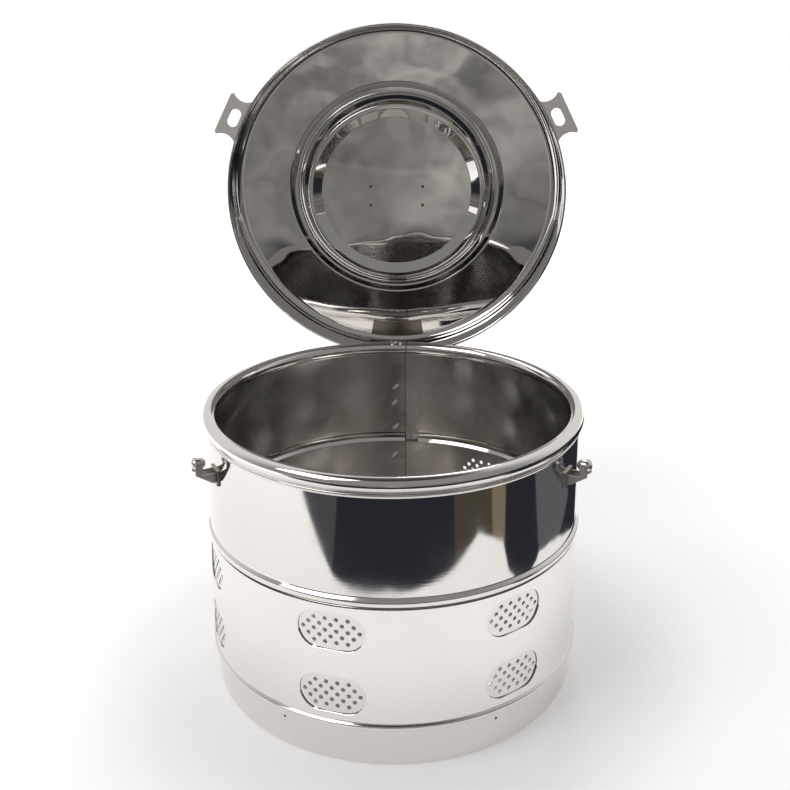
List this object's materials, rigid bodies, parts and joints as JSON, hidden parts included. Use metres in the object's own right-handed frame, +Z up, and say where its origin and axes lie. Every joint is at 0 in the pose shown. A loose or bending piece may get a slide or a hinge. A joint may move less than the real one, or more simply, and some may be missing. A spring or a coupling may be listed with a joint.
{
  "type": "sterilization drum",
  "caption": "Round perforated stainless drum for steam sterilizing dressings, with a turning shutter band, hinged lid, folding handle and two toggle latches.",
  "frame": {"origin": "centre of the drum's base, on the surface it stands on", "axes": "+Z up along the drum's axis, -Y towards the front, the lid's hinge at +Y, +X to the right seen from the front"},
  "size_m": [0.3094, 0.338, 0.4886],
  "materials": {
    "polished_stainless": "polished stainless steel sheet",
    "band_stainless": "polished stainless steel strip",
    "fitting_steel": "satin stainless steel pressings",
    "handle_steel": "drawn stainless steel rod"
  },
  "bodies": {
    "drum": {"drum_shell": "polished_stainless", "vent_screens_lower": "polished_stainless", "vent_screens_upper": "polished_stainless", "base_pan": "polished_stainless", "seam_strip": "polished_stainless", "latch_bracket_left": "fitting_steel", "latch_bracket_right": "fitting_steel", "pivot_pin_left": "fitting_steel", "pivot_pin_right": "fitting_steel", "hinge_body_leaf": "fitting_steel", "hinge_pin": "handle_steel"},
    "shutter": {"shutter_band": "band_stainless", "band_clasp": "band_stainless", "shutter_knob": "fitting_steel"},
    "lid": {"lid_pan": "polished_stainless", "lug_left": "fitting_steel", "lug_right": "fitting_steel", "handle_clip_left": "fitting_steel", "handle_clip_right": "fitting_steel", "hinge_lid_leaf": "fitting_steel"},
    "handle": {"carrying_handle": "handle_steel"},
    "left_toggle": {"toggle_left": "fitting_steel"},
    "right_toggle": {"toggle_right": "fitting_steel"}
  },
  "joints": [
    {"name": "lid_hinge", "type": "hinge", "parent": "drum", "child": "lid", "pos_m": [0, 0.158, 0.184], "axis": [1, 0, 0], "range_deg": [0, 88]},
    {"name": "handle_pivot", "type": "hinge", "parent": "lid", "child": "handle", "pos_m": [0, 0.17981, 0.33886], "axis": [1, 0, 0], "range_deg": [0, 180]},
    {"name": "shutter_turn", "type": "hinge", "parent": "drum", "child": "shutter", "pos_m": [0, 0, 0.07785], "axis": [0, 0, 1], "range_deg": [0, 27]},
    {"name": "left_toggle_pivot", "type": "hinge", "parent": "drum", "child": "left_toggle", "pos_m": [-0.13701, -0.06831, 0.1918], "axis": [-0.4462, 0.8949, 0], "range_deg": [0, 90]},
    {"name": "right_toggle_pivot", "type": "hinge", "parent": "drum", "child": "right_toggle", "pos_m": [0.13701, -0.06831, 0.1918], "axis": [-0.4462, -0.8949, 0], "range_deg": [0, 90]}
  ]
}
